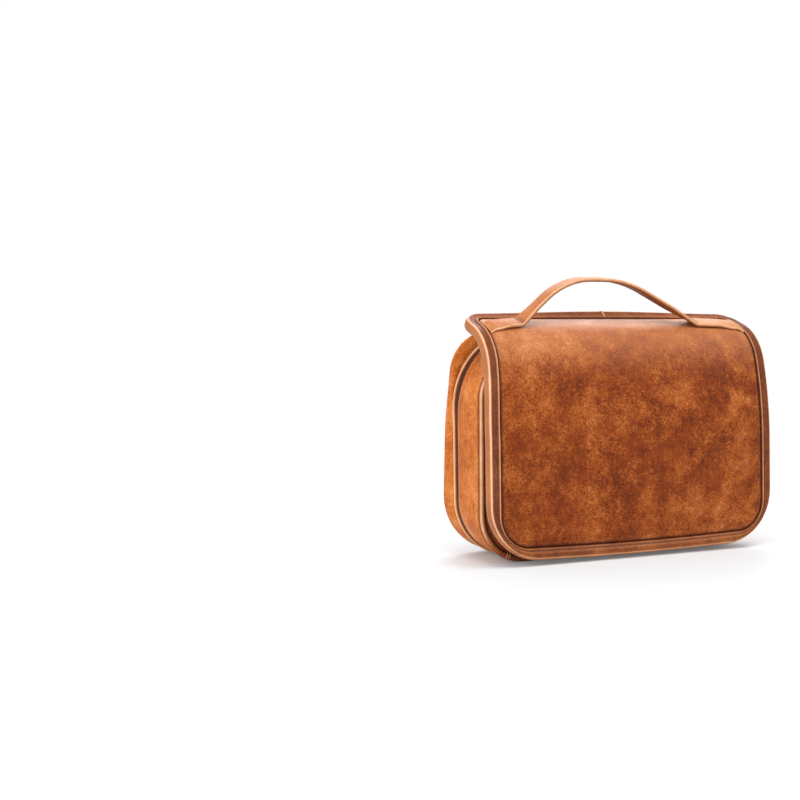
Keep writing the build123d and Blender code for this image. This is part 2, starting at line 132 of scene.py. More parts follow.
def shrink(points, share):
    """A loop drawn in by a share of the way to the middle line of its outline."""
    across, up = zip(*(spot for spot, _ in points))
    low, high = min(up), max(up)
    reach = max(0.0, max(across) - (high - low) / 2)
    drawn = []
    for spot, facing in points:
        goal = Vector((max(-reach, min(reach, spot.x)), (low + high) / 2))
        drawn.append((spot.lerp(goal, share), facing))
    return drawn


def smooth(value):
    value = max(0.0, min(1.0, value))
    return value * value * (3 - 2 * value)


def wander(point, size, seed=0.0):
    """A slow, repeatable wobble between about -1 and 1, for hand-sewn irregularity."""
    return noise.noise(Vector(point) / size + Vector((seed, seed * 0.37, -seed)))


print("points in a loop:", len(loop(body_half, 0, zip_top, *zip_radii)))

# %% [markdown]
# ## Skins
# A skin joins rings of points into one smooth mesh. Three things are kept on its points for the
# materials: `rest`, where the point lies on the standing bag, so that a pattern stays on the
# leather when a flap moves; a paleness, for edges that are rubbed and for painted highlights and
# sheen; and a darkness, which is painted shade in seams, grooves, creases and under things.
# Planes with modifiers could make these forms too, but rings put every row on its seam.

# %% Skin builder
def mesh_object(name, vertices, faces, worn=None, grime=None):
    mesh = bpy.data.meshes.new(name)
    mesh.from_pydata([tuple(v) for v in vertices], [], faces)
    # The first value is the paleness of rubbed edges and painted highlights, the second is painted
    # shade.
    for label, values in (("worn", worn), ("grime", grime)):
        layer = mesh.attributes.new(label, "FLOAT", "POINT")
        layer.data.foreach_set("value", values or [0.0] * len(vertices))
    rest = mesh.attributes.new("rest", "FLOAT_VECTOR", "POINT")
    rest.data.foreach_set("vector", [value for v in vertices for value in v])
    shape = bmesh.new()
    shape.from_mesh(mesh)
    bmesh.ops.remove_doubles(shape, verts=shape.verts, dist=0.00002)
    bmesh.ops.dissolve_degenerate(shape, edges=shape.edges, dist=0.00001)
    bmesh.ops.recalc_face_normals(shape, faces=shape.faces)
    shape.to_mesh(mesh)
    shape.free()
    mesh.shade_smooth()
    piece = bpy.data.objects.new(name, mesh)
    bpy.context.scene.collection.objects.link(piece)
    return piece


def quads(rows, count, closed=True, first=0):
    """The faces between rows of count points each, the first point having the number first."""
    faces = []
    for row in range(rows - 1):
        low, high = first + row * count, first + (row + 1) * count
        for column in range(count if closed else count - 1):
            after = (column + 1) % count
            faces.append((low + column, low + after, high + after, high + column))
    return faces


def skin(name, rings, closed=True):
    """A mesh through rings of (point, paleness, painted shade), joined in order."""
    vertices, worn, grime = zip(*(entry for ring in rings for entry in ring))
    return mesh_object(name, vertices, quads(len(rings), len(rings[0]), closed), worn, grime)


def plain_ring(points, worn=0.0, grime=0.0):
    """A ring for a skin from (point, outward) pairs, with one paleness and one painted shade all
    round.
    """
    return [(place, worn, grime) for place, _ in points]


def dress(piece, material, body, slot, *nodes):
    """Gives a piece its finish and its body, and lets it stand for its CAD nodes."""
    piece.data.materials.append(material)
    if body:
        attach(piece, body)
    if nodes:
        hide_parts(*nodes)


# %% [markdown]
# ## Shader maths as arithmetic
# A socket that is wrapped in `Signal` can be added, subtracted or multiplied like a number, and
# each sign adds a Math node. `Recipe` holds the nodes of one material and makes any other node.
# Colours go through Mix nodes, because a Math node would turn them grey.

# %% Material helpers
class Signal:
    """One socket of a material that is being wired."""

    def __init__(self, recipe, socket):
        self.recipe = recipe
        self.socket = socket

    def beside(self, label):
        """Another output of the same node."""
        return Signal(self.recipe, self.socket.node.outputs[label])

    def __add__(self, other):
        return self.recipe.maths("ADD", self, other)

    def __sub__(self, other):
        return self.recipe.maths("SUBTRACT", self, other)

    def __rsub__(self, other):
        return self.recipe.maths("SUBTRACT", other, self)

    def __mul__(self, other):
        return self.recipe.maths("MULTIPLY", self, other)

    __radd__ = __add__
    __rmul__ = __mul__


class Recipe:
    """The nodes of one material or world, and the method that adds any node to them."""

    def __init__(self, owner, shader="Principled BSDF"):
        owner.use_nodes = True
        self.owner, self.tree = owner, owner.node_tree
        self.shader = self.tree.nodes[shader]

    def node(self, kind, settings=None, inputs=None, output=0):
        made = self.tree.nodes.new(kind)
        for label, value in (settings or {}).items():
            if label == "stops":
                ramp = made.color_ramp.elements
                while len(ramp) < len(value):
                    ramp.new(0.5)
                for element, (place, colour) in zip(ramp, value):
                    element.position = place
                    element.color = (*colour, 1.0)
            else:
                setattr(made, label, value)
        for label, value in (inputs or {}).items():
            self.feed(made.inputs[label], value)
        return Signal(self, made.outputs[output])

    def feed(self, socket, value):
        if isinstance(value, Signal):
            self.tree.links.new(value.socket, socket)
        elif isinstance(value, tuple) and len(value) == 3 and socket.type == "RGBA":
            socket.default_value = (*value, 1.0)
        else:
            socket.default_value = value

    def set(self, **values):
        """Feeds the shader's own sockets, and gives back the material or world."""
        for label, value in values.items():
            self.feed(self.shader.inputs[label.replace("_", " ")], value)
        return self.owner

    def maths(self, operation, *values):
        return self.node("ShaderNodeMath", {"operation": operation}, dict(enumerate(values)))

    def mix(self, share, first, second):
        inputs = {"Factor": share, 6: first, 7: second}
        return self.node("ShaderNodeMix", {"data_type": "RGBA"}, inputs, 2)

    def attribute(self, name, output):
        return self.node("ShaderNodeAttribute", {"attribute_name": name}, None, output)

    def noise(self, place, scale, detail=3.0, roughness=0.55):
        inputs = {"Vector": place, "Scale": scale, "Detail": detail, "Roughness": roughness}
        return self.node("ShaderNodeTexNoise", None, inputs, "Fac")

    def bump(self, strength, distance, height):
        inputs = {"Strength": strength, "Distance": distance, "Height": height}
        return self.node("ShaderNodeBump", None, inputs)


def finish(name):
    return Recipe(bpy.data.materials.new(name))


def srgb(red, green, blue):
    """A colour as it is seen on a screen, 0 to 255, turned into the linear one a shader takes."""
    values = []
    for channel in (red, green, blue):
        share = channel / 255
        values.append(share / 12.92 if share <= 0.04045 else ((share + 0.055) / 1.055) ** 2.4)
    return tuple(values)


# %% [markdown]
# ## Distressed leather
# The real cover is a coated cloth, printed to look like old leather: slow clouds of dark brown
# over rust and tan, finer mottling in them, and a pebbled grain pressed into the coat. Noise of
# four sizes gives the tones, a colour ramp gives the dye, and a cell texture gives the pebbles.
# Edges turn pale, partly from rubbing and partly as painted highlights and sheen, and seams,
# grooves, creases and undersides are darkened with painted shade, from the values kept on the
# mesh. A scan of leather could be wrapped round the bag instead, but it would show its own seams.
# Noise has none.

# %% Leather recipe
# pale_edge is the cream of rubbed edges and of painted highlights; the dark brown is painted shade.
pale_edge, painted_shade_brown = srgb(244, 190, 150), srgb(58, 26, 18)


def leather(name, contrast, *dyes):
    """Leather from four dyes: the darkest, the usual one, the lightest and a redder blush."""
    dark, middle, light, blush = (srgb(*dye) for dye in dyes)
    recipe = finish(name)
    place = recipe.attribute("rest", "Vector")
    clouds = recipe.noise(place, 17.0, 2.0, 0.6)
    patches = recipe.noise(place, 60.0, 4.0, 0.7)
    mottle = recipe.noise(place, 330.0, 3.0, 0.75)
    specks = recipe.noise(place, 900.0, 2.0, 0.7)
    tone = clouds * 0.5 + patches * 0.75 + mottle * 0.45 + specks * 0.85 - 1.275
    # The pale mask, from wear and painted highlights, lifts and evens the tone.
    worn = recipe.attribute("worn", "Fac")
    tone = tone * ((1.0 - worn * 0.9) * contrast) + 0.5 + worn * 0.5
    lightest = tuple(a + (b - a) * 0.3 for a, b in zip(light, pale_edge))
    stops = [(0.18, dark), (0.47, middle), (0.76, light), (1.0, lightest)]
    dye = recipe.node("ShaderNodeValToRGB", {"stops": stops}, {0: tone}, "Color")
    drift = recipe.noise(place, 48.0, 3.0, 0.6)
    dye = recipe.mix((drift * 2.2 - 0.8) * 0.45, dye, blush)
    # In patches the same mask paints the cream of rubbed edges and of highlights and sheen.
    rubbed_and_lit = worn * (0.7 + patches * 2.0)
    dye = recipe.mix(worn * 0.35, dye, pale_edge)
    dye = recipe.mix(rubbed_and_lit - 1.0, dye, pale_edge)
    # Painted shade darkens seams, grooves, creases and undersides.
    dye = recipe.mix(recipe.attribute("grime", "Fac") * 0.8, dye, painted_shade_brown)
    cells = {"Vector": place, "Scale": 950.0}
    pebbles = recipe.node("ShaderNodeTexVoronoi", {"feature": "SMOOTH_F1"}, cells, "Distance")
    normal = recipe.bump(0.35, 0.0004, pebbles * 0.5 + mottle * 0.9 + specks * 0.35)
    rough = 0.44 + mottle * 0.2 - rubbed_and_lit * 0.05
    return recipe.set(Base_Color=dye, Roughness=rough, Normal=normal, Specular_IOR_Level=0.14)


panel_leather = leather(
    "panel_leather", 1.45, (80, 27, 4), (130, 56, 8), (178, 98, 38), (128, 46, 10)
)
gusset_leather = leather(
    "gusset_leather", 1.8, (164, 80, 22), (198, 108, 40), (222, 138, 66), (186, 88, 30)
)
edge_leather = leather(
    "edge_leather", 1.0, (88, 42, 18), (136, 72, 34), (178, 104, 54), (126, 58, 30)
)
strap_leather = leather(
    "strap_leather", 1.2, (146, 76, 34), (176, 100, 50), (190, 128, 82), (166, 88, 46)
)
print("leathers:", [m.name for m in bpy.data.materials])

# %% [markdown]
# ## Cloth, zipper, thread and metal
# The lining is a plain dark weave: two crossing sine waves give its threads. The zipper's tape is
# a dark twill with satin coil on it. The snaps and sliders are brushed, with fine scratches in
# their roughness. Two short functions make them all, since only colours and scales differ.

# %% Other finishes
def cloth(name, colour, pitch):
    """A plain weave with a little fuzz on it."""
    recipe = finish(name)
    place = recipe.attribute("rest", "Vector")
    across = recipe.node("ShaderNodeSeparateXYZ", None, {0: place}, "X")
    along = across.beside("Z") + across.beside("Y")
    warp, weft = (recipe.maths("SINE", way * (2 * math.pi / pitch)) for way in (across, along))
    weave = warp * weft * 0.5 + 0.5
    fuzz = recipe.noise(place, 900.0, 2.0)
    pale = tuple(min(1, channel * 2.4) for channel in colour)
    shade = recipe.mix(weave * 0.5 + fuzz * 0.4, colour, pale)
    normal = recipe.bump(0.4, 0.0002, weave + fuzz * 0.3)
    rough = 0.9 - fuzz * 0.1
    return recipe.set(Base_Color=shade, Roughness=rough, Normal=normal, Specular_IOR_Level=0.1)


def satin(name, dark, light, base_roughness, metallic=0.0, scale=700.0):
    """A smooth finish whose fine scratches also roughen it."""
    recipe = finish(name)
    place = recipe.node("ShaderNodeTexCoord", output="Object")
    streak = {"Vector": place, "Scale": (1.0, 1.0, 6.0)}
    stretched = recipe.node("ShaderNodeMapping", None, streak, "Vector")
    scratches = recipe.noise(stretched, scale, 4.0, 0.7)
    colour = recipe.mix(scratches, dark, light)
    rough = base_roughness + scratches * 0.2
    normal = recipe.bump(0.15, 0.0001, scratches)
    return recipe.set(Base_Color=colour, Roughness=rough, Metallic=metallic, Normal=normal)


lining_cloth = cloth("lining_cloth", srgb(36, 22, 16), 0.9 * MM)
pocket_cloth = cloth("pocket_cloth", srgb(50, 34, 26), 0.9 * MM)
tape_cloth = cloth("tape_cloth", srgb(50, 26, 28), 0.8 * MM)
coil_plastic = satin("coil_plastic", srgb(62, 34, 36), srgb(98, 62, 60), 0.45)
thread = satin("thread", srgb(66, 28, 26), srgb(116, 62, 52), 0.6, scale=2200.0)
snap_metal = satin("snap_metal", srgb(150, 126, 84), srgb(206, 182, 132), 0.28, 1.0)
slider_metal = satin("slider_metal", srgb(126, 108, 78), srgb(190, 168, 126), 0.3, 1.0)
board_grey = satin("board_grey", srgb(58, 56, 54), srgb(86, 84, 80), 0.7)
print("finishes:", len(bpy.data.materials))

# %% [markdown]
# ## The cover's side view
# Seen from the side, the cover hangs straight from its knee, leans back and bends over onto the
# spine. Its outer face is three straight runs and two arcs. `cover_point` turns a width x, a
# length s along that face and a depth under it into a place on the bag.

# %% Cover path
knee_z, knee_radius = 126.6 * MM, 320 * MM
bend_z, bend_radius = 183 * MM, 44 * MM
flap_lean, spine_rise = math.radians(12.3), math.radians(23)
hem = Vector((face_y, hem_height))
knee = Vector((face_y, knee_z))
bend = knee + Vector((math.tan(flap_lean), 1)) * (bend_z - knee_z)
rear = bend + Vector((1, math.tan(spine_rise))) * (spine_rear_y - bend.x)

bend_turn = math.pi / 2 - flap_lean - spine_rise
knee_cut = knee_radius * math.tan(flap_lean / 2)
bend_cut = bend_radius * math.tan(bend_turn / 2)
# The length and the turn of each run, from the hem up. A straight run has no turn.
runs = [
    ((knee - hem).length - knee_cut, 0.0),
    (knee_radius * flap_lean, flap_lean),
    ((bend - knee).length - knee_cut - bend_cut, 0.0),
    (bend_radius * bend_turn, bend_turn),
    ((rear - bend).length - bend_cut, 0.0),
]
cover_length = sum(length for length, _ in runs)
curl_reach, curl_lift, curl_crown = 14 * MM, 0.8 * MM, 2.4 * MM
hem_sag, sag_reach = 2.6 * MM, 70 * MM
left_pull, pull_start, pull_reach = 2.7 * MM, 100 * MM, 60 * MM


def path_frame(s):
    """The place (y, z) and the outward direction on the cover's outer face at a length s."""
    spot, heading = hem.copy(), 0.0
    for index, (length, turn) in enumerate(runs):
        step = s if index == len(runs) - 1 else min(s, length)
        if turn:
            angle, radius = turn * step / length, length / turn
            side = Vector((math.cos(heading), -math.sin(heading)))
            out = Vector((math.cos(heading + angle), -math.sin(heading + angle)))
            spot = spot + (side - out) * radius
            heading += angle
        else:
            spot = spot + Vector((math.sin(heading), math.cos(heading))) * step
        s -= step
        if s <= 0:
            break
    return spot, Vector((-math.cos(heading), math.sin(heading)))


def arched(x):
    """1 in the middle of the cover's width, 0 at its sides."""
    return math.cos(x / cover_half * math.pi / 2)


def cover_point(x, s, depth):
    """A place on the cover. Its rear rim curls up, its hem sags, its upper left is pulled in."""
    spot, out = path_frame(s)
    share = max(0.0, (s - cover_length + curl_reach) / curl_reach)
    lift = (curl_lift + curl_crown * arched(x) ** 2) * share**2
    turn = math.atan2(2 * lift, curl_reach * max(share, 0.1))
    sag = hem_sag * arched(x) * (1 - smooth(s / sag_reach))
    spot = spot + Vector((0, lift - sag)) - (Matrix.Rotation(turn, 2) @ out) * depth
    pulled = left_pull * smooth((s - pull_start) / pull_reach) * (0.5 - 0.5 * x / cover_half)
    return Vector((x + pulled, spot.x, spot.y))


print(f"cover length {cover_length * 1000:.1f} mm")

# %% [markdown]
# ## The cover
# A padded sheet: a leather face over foam, a cloth underside, and one strip of leather folded
# round the edge and stitched through. Its cross-section is written once, as rows of inset from
# the outline, depth under the face, paleness from wear and painted highlight, and painted shade,
# and swept round the outline. The binding's fold lines are rubbed pale and carry a painted
# highlight, and its stitch line lies in a groove darkened with painted shade. A thickened plane
# would be simpler, but it would have neither the rolled edge nor the groove.

# %% Cover sections
cover_radii = (43.6 * MM, 17 * MM)
# The paleness of the fold lines is wear and a painted highlight, and that of the side strip is
# painted light from the left lamp; the groove, the binding's face and the edge's underside are
# darkened with painted shade.
binding_section = [
    (9.6, 6.9, 0.0, 1.0), (9.2, 7.8, 0.1, 0.5), (7.0, 8.9, 0.1, 0.0), (4.0, 9.7, 0.0, 0.0),
    (1.4, 9.7, 0.1, 0.0), (0.0, 9.0, 0.3, 0.0), (-0.9, 7.8, 0.4, 0.0), (-1.3, 6.2, 0.4, 0.0),
    (-1.2, 4.6, 0.35, 0.0), (-0.8, 3.1, 0.3, 0.0), (-0.2, 1.8, 0.35, 0.0), (0.4, 0.9, 1.0, 0.0),
    (1.0, 0.35, 1.0, 0.0), (1.5, 0.15, 0.2, 0.2), (2.2, 0.2, 0.0, 0.55), (4.0, 0.5, 0.0, 0.6),
    (5.4, 0.8, 0.0, 0.5), (6.2, 1.15, 0.0, 0.5), (6.8, 1.25, 0.0, 0.5), (7.3, 0.9, 0.1, 0.4),
    (7.7, 0.3, 0.5, 0.0), (8.1, 0.0, 0.75, 0.0), (8.5, 0.1, 0.5, 0.0), (8.9, 0.7, 0.1, 0.7),
    (9.2, 1.8, 0.0, 1.0),
]
# The panel's rim beside the binding is darkened with painted shade.
panel_section = [
    (8.9, 2.1, 0.0, 1.0), (9.6, 1.7, 0.0, 1.0), (10.3, 1.1, 0.0, 0.9), (11.1, 0.7, 0.0, 0.35),
    (12.4, 0.5, 0.05, 0.1), (14.0, 0.35, 0.0, 0.05), (16.0, 0.2, 0.0, 0.0),
]
panel_rings, cover_side_steps = 44, 84
corner_tightening = 1.1
# Painted light on the cover: a highlight on the bend, where the top light falls, and a sheen on the
# spine.
bend_highlight, bend_start, bend_fade = 0.34, knee_z + 10 * MM, 45 * MM
spine_sheen, spine_start, spine_fade = 0.22, cover_length - 38 * MM, 12 * MM
# On runs level with the floor the binding is painted as lit there: a paler stitched band, little
# shade.
band_highlight, band_shade = 0.22, 0.1


def cover_loop(inset):
    """The cover's outline at an inset. The binding is pulled narrow round the hem's corners."""
    low_radius, high_radius = cover_radii
    low_radius -= corner_tightening * max(0.0, min(inset, 9 * MM))
    return loop(cover_half, 0.0, cover_length, low_radius, high_radius, inset, cover_side_steps)


def cover_ring(points, depth, worn=0.0, grime=0.0, softness=0.0):
    """A ring under the cover's face. A soft one swells a little and gets painted light: a highlight
    on the bend and a sheen on the spine.
    """
    ring = []
    for spot, _ in points:
        base, painted_light = cover_point(spot.x, spot.y, 0.0), 0.0
        give = softness * (wander(base, 60 * MM, 3.0) + 0.35 * wander(base, 22 * MM, 5.0))
        if softness > 0:
            painted_light = bend_highlight * smooth((spot.y - bend_start) / bend_fade)
            painted_light += spine_sheen * smooth((spot.y - spine_start) / spine_fade)
        ring.append((cover_point(spot.x, spot.y, depth - give), max(worn, painted_light), grime))
    return ring


def section_rings(section):
    """Rings of a cross-section. Level with the floor, the binding is painted as lit there: its
    stitched band evenly pale and hardly shaded, its face less shaded and its edges' highlight
    weaker than upright.
    """
    rings = []
    for inset, depth, worn, grime in section:
        if depth >= 2 or inset > 8.7:
            level = (worn, grime)
        elif inset > 5.0:
            level = (band_highlight, band_shade)
        else:
            level = (worn * 0.7, grime * 0.5)
        points = cover_loop(inset * MM)
        softness = 0.01 * MM if section is panel_section else 0.0
        ring = cover_ring(points, depth * MM, softness=softness)
        for index, (place, painted_light, _) in enumerate(ring):
            share = smooth((abs(points[index][1].y) - 0.5) / 0.4)
            edge_wear_and_highlight = worn + (level[0] - worn) * share
            ring[index] = (place, max(edge_wear_and_highlight, painted_light), grime + (level[1] - grime) * share)
        rings.append(ring)
    return rings


def field_rings(inset, depth, softness):
    """Rings that close the middle of the cover, inside an inset."""
    rings = []
    for step in range(1, panel_rings + 1):
        points = shrink(cover_loop(inset), step / panel_rings)
        rings.append(cover_ring(points, depth, softness=softness * smooth(step / 4)))
    return rings


# %% Make the cover
hinge_s = sum(length for length, _ in runs[:3]) + runs[3][0] / 2
fold_reach = 15 * MM


def hang(piece):
    """Bakes the piece's transform into its mesh; the cover is not bent at the flap's hinge."""
    start = cover_point(0.0, hinge_s + fold_reach, 0.0)
    end = cover_point(0.0, hinge_s - fold_reach, 0.0)
    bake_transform(piece)


binding = skin("cover_binding", section_rings(binding_section))
dress(binding, edge_leather, None, "edge_leather", "flap_binding", "spine_binding")

panel = skin("cover_panel", section_rings(panel_section) + field_rings(16 * MM, 0.0, 0.55 * MM))
dress(panel, panel_leather, None, "panel_leather")
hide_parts("flap_panel", "spine_panel", "flap_padding", "spine_padding")

# The underside's rim beside the binding is darkened with painted shade.
underside_section = [(9.0, 6.6, 0.0, 1.0), (9.8, 7.0, 0.0, 0.6), (12.0, 7.1, 0.0, 0.0)]
underside = skin(
    "cover_lining", section_rings(underside_section) + field_rings(12 * MM, 7.1 * MM, -0.3 * MM)
)
dress(underside, lining_cloth, None, "lining_cloth", "flap_lining", "spine_lining")
print("cover faces:", sum(len(p.data.polygons) for p in (binding, panel, underside)))

# %% [markdown]
# ## Stitches
# A lockstitch shows as short dashes of thread that dip into the leather at both ends. One stitch
# is a thin lens-shaped bead, and a function lays it again and again along a line of points. A
# bump would be cheaper, but real beads catch the light and stay in the exported mesh.

# %% Stitch maker
stitch_length, stitch_gap, stitch_radius = 2.1 * MM, 0.95 * MM, 0.38 * MM
stitch_stations = [(-0.5, 0.35), (-0.3, 0.9), (0.0, 1.05), (0.3, 0.9), (0.5, 0.35)]
stitch_sides = 6


def spokes(first_way, second_way, count):
    """Directions all round, from one direction on and turning towards a second."""
    turns = [2 * math.pi * step / count for step in range(count)]
    return [first_way * math.cos(turn) + second_way * math.sin(turn) for turn in turns]


def add_bead(vertices, faces, stations, first_way, second_way, sides, capped=False):
    """Adds a bead through stations of (middle, girth), round in the plane of two directions."""
    first = len(vertices)
    for middle, girth in stations:
        vertices += [middle + spoke * girth for spoke in spokes(first_way, second_way, sides)]
    if capped:
        faces.append(tuple(range(first, first + sides)))
    faces += quads(len(stations), sides, first=first)


def spaced(points, spacing, closed=True):
    """Places and directions a steady spacing apart along a polyline of (point, outward)."""
    found, carried = [], 0.0
    total = len(points) if closed else len(points) - 1
    for index in range(total):
        start, out = points[index]
        end = points[(index + 1) % len(points)][0]
        span = (end - start).length
        while carried < span:
            found.append((start.lerp(end, carried / span), (end - start).normalized(), out))
            carried += spacing
        carried -= span
    return found


def stitches(name, points, closed=True):
    vertices, faces = [], []
    for place, along, out in spaced(points, stitch_length + stitch_gap, closed):
        stations = []
        for reach, girth in stitch_stations:
            sink = out * (-0.9 * stitch_radius * (2 * reach) ** 2)
            middle = place + along * (reach * stitch_length) + sink
            stations.append((middle, girth * stitch_radius))
        add_bead(vertices, faces, stations, along.cross(out).normalized(), out, stitch_sides)
    return mesh_object(name, vertices, faces)


def cover_line(inset, depth):
    line = []
    for spot, _ in cover_loop(inset):
        place = cover_point(spot.x, spot.y, depth)
        out = cover_point(spot.x, spot.y, depth - MM) - place
        line.append((place, out.normalized()))
    return line


cover_stitches = stitches("cover_stitches", cover_line(6.8 * MM, 1.0 * MM))
dress(cover_stitches, thread, None, "edge_leather")

# %% [markdown]
# The binding strip's two ends meet in the middle of the rear rim, one folded over the other. The
# fold shows as a small raised step with a pale raw edge.

# %% Binding lap
lap_rows = [(-1.6, -0.3), (-0.9, 0.3), (0.0, 0.35), (0.7, 0.35), (1.0, -0.3)]
rings = []
for x, rise in lap_rows:
    ring = []
    for inset, depth, _, _ in binding_section[3:-4]:
        s = cover_length - (inset - rise * 0.6) * MM
        ring.append((cover_point(x * MM, s, (depth - rise) * MM), 1.0 if x >= 0 else 0.2, 0.0))
    rings.append(ring)
binding_lap = skin("binding_lap", rings, closed=False)
dress(binding_lap, edge_leather, None, "edge_leather")
for piece in (binding, panel, underside, cover_stitches, binding_lap):
    hang(piece)
underside_cut = (2 * (cover_half - 9 * MM), cover_length - 18 * MM)
stitch_faces = (len(stitch_stations) - 1) * stitch_sides
print("cover stitches:", len(cover_stitches.data.polygons) // stitch_faces)

# %% [markdown]
# ## The front shell
# The front half of the body is a lofted leather wall between the piping and the zipper, a padded
# front panel and a round piping cord in the seam between them. The wall swells a little between
# its two seams, as stuffed leather does, and lies flat on the floor. A rounded cube would be
# quicker to make, but its edges wouldn't follow the seams of the CAD.

# %% Planes and loops of the shells
shoulder_draw, zip_clearance = 0.03, 0.2 * MM


def leaning(foot_y, lean):
    """Makes a function that places points on a leaning plane, counted along it from the floor."""
    def place(x, z, forward=0.0):
        y = foot_y - z * math.sin(lean) - forward * math.cos(lean)
        return Vector((x, y, z * math.cos(lean) - forward * math.sin(lean)))
    return place


front_place, rear_place = leaning(front_foot_y, front_lean), leaning(rear_foot_y, rear_lean)


def front_loop(inset=0.0):
    return loop(front_half, 0.0, front_top, *front_radii, inset)


def zip_loop(inset=0.0):
    return loop(body_half, 0.0, zip_top, *zip_radii, inset)


def rear_loop(inset=0.0):
    """The rear edge's outline, drawn in a little at the shoulders."""
    drawn = []
    for spot, facing in loop(rear_half, rear_bottom, rear_top, *rear_radii, inset):
        share = 1 - shoulder_draw * smooth((spot.y - 100 * MM) / (75 * MM))
        drawn.append((Vector((spot.x * share, spot.y)), facing))
    return drawn


def outward(facing):
    """A loop's direction (x, z) as a direction in space."""
    return Vector((facing.x, 0.0, facing.y))


def swell(place, facing, amount):
    """How far a wall stands out at a point: not on the floor, and never quite even."""
    lift = smooth((facing.y + 1.0) / 0.7)
    uneven = wander(place, 45 * MM, 9.0) * 0.5 + wander(place, 18 * MM, 4.0) * 0.3
    slack = 1.0 + 1.2 * smooth((place.z - 120 * MM) / (50 * MM))
    return lift * (amount + uneven * slack * MM * (1 if amount else 0))


def wall_ring(first, last, share, bulge, worn=0.0, grime=0.0):
    ring = []
    for (start, facing), (end, _) in zip(first, last):
        place = start.lerp(end, share)
        ring.append((place + outward(facing) * swell(place, facing, bulge), worn, grime))
    return ring


def half_gap(z):
    """Half of the zipper's opening between the leather edges, which gapes at the shoulders."""
    return (rear_zip_y - front_zip_y) / 2 + 0.9 * MM + 2.2 * MM * smooth((z - 105 * MM) / (50 * MM))


def zip_edge(inset, side, lip=0.0):
    """The leather's edge along the zipper, on its front (-1) or rear (1) side."""
    ring = []
    for spot, facing in zip_loop(inset):
        y = zip_y + side * (half_gap(spot.y) - lip)
        ring.append((Vector((spot.x, y, max(spot.y, zip_clearance))), facing))
    return ring


def placed(points, place, *depth):
    return [(place(spot.x, spot.y, *depth), facing) for spot, facing in points]


def lip_rings(side, rows):
    """The leather's turned lip along the zipper, from rows of inset, lip, paleness from wear and
    painted highlight, and painted shade.
    """
    rings = []
    for inset, lip, worn, grime in rows:
        rings.append(plain_ring(zip_edge(inset * MM, side, lip * MM), worn, grime))
    return rings


def edge_rings(loop_of, place, rows):
    """Rings on a leaning plane, from rows of inset, distance forward, paleness from wear and
    painted highlight, and painted shade.
    """
    rings = []
    for inset, forward, worn, grime in rows:
        rings.append(plain_ring(placed(loop_of(inset * MM), place, forward * MM), worn, grime))
    return rings


def padded_face(name, loop_of, place, rise, steps, belly, ripple):
    """A padded panel, from its edge's rows in to its middle, with a ripple (depth, size, seed)."""
    rings = edge_rings(loop_of, place, rise)
    inset, forward = rise[-1][:2]
    depth, size, seed = ripple
    for step in range(1, steps + 1):
        points = shrink(loop_of(inset * MM), step / steps)
        ring = []
        for spot, _ in placed(points, place, forward * MM + belly * smooth(step / steps)):
            ring.append((spot + Vector((0, depth * wander(spot, size, seed), 0)), 0.0, 0.0))
        rings.append(ring)
    return skin(name, rings)


# %% Make the front shell
wall_bulge, wall_rows = 1.3 * MM, 14
seam_ring = placed(front_loop(0.6 * MM), front_place, -2.2 * MM)
edge_ring = zip_edge(0.0, -1)
rings = edge_rings(front_loop, front_place, [(3.0, -2.0, 0.0, 1.0)])
for row in range(wall_rows + 1):
    share = row / wall_rows
    bulge = wall_bulge * math.sin(math.pi * share) ** 0.6
    # Painted highlight with wear on the lip at the zipper's fold, and painted shade along the
    # piping seam.
    worn = 0.55 * smooth((share - 0.95) / 0.05)
    grime = 0.9 * smooth((0.07 - share) / 0.07)
    rings.append(wall_ring(seam_ring, edge_ring, share, bulge, worn, grime))
# The turned lip: pale at its fold, then darkened with painted shade into the zipper's gap.
rings += lip_rings(-1, [(0.3, 0.35, 0.4, 0.0), (1.0, 0.45, 0.0, 0.7), (2.4, 0.2, 0.0, 1.0)])
front_wall = skin("front_wall", rings)
dress(front_wall, gusset_leather, "front_shell", "gusset_leather", "front_gusset")

# The last column darkens the panel's rim at the piping with painted shade.
panel_rise = [
    (3.2, -1.6, 0.0, 1.0), (4.2, -0.3, 0.0, 1.0), (5.0, 0.6, 0.0, 0.8), (7.0, 2.0, 0.0, 0.5),
    (10.0, 4.2, 0.0, 0.3), (14.0, 6.6, 0.0, 0.15), (19.0, 8.9, 0.0, 0.1), (25.0, 10.2, 0.0, 0.0),
    (30.0, 10.6, 0.0, 0.0),
]
front_ripple = (-0.35 * MM, 40 * MM, 2.0)
front_face = padded_face(
    "front_face", front_loop, front_place, panel_rise, 14, 0.0, front_ripple
)
dress(front_face, panel_leather, "front_shell", "panel_leather", "front_panel", "front_padding")

# %% [markdown]
# Piping is a cord wrapped in a folded strip of leather. It is swept round the seam as a circle of
# points, pale on its crown, where hands rub it and a highlight is painted, and darkened with
# painted shade where it sinks into the seam.

# %% Piping
def tube(name, points, radius, sides=14, crown=Vector((0, 0, 0))):
    """A closed round cord along (point, outward) pairs, pale from wear and a painted highlight
    where it faces the crown, and darkened with painted shade where it turns into the seam.
    """
    rings = []
    for index, (place, out) in enumerate(points):
        along = (points[(index + 1) % len(points)][0] - points[index - 1][0]).normalized()
        ring = []
        for spoke in spokes(out, along.cross(out).normalized(), sides):
            rubbed_and_lit = 0.9 * smooth((spoke.dot((out + crown).normalized()) - 0.72) / 0.26)
            # No highlight is painted where the cord faces the floor.
            rubbed_and_lit *= 1 - smooth((-out.z - 0.3) / 0.5)
            # The side that turns into the seam is darkened with painted shade.
            ring.append((place + spoke * radius, rubbed_and_lit, smooth((-spoke.dot(out) - 0.1) / 0.7)))
        rings.append(ring)
    return skin(name, rings + rings[:1])


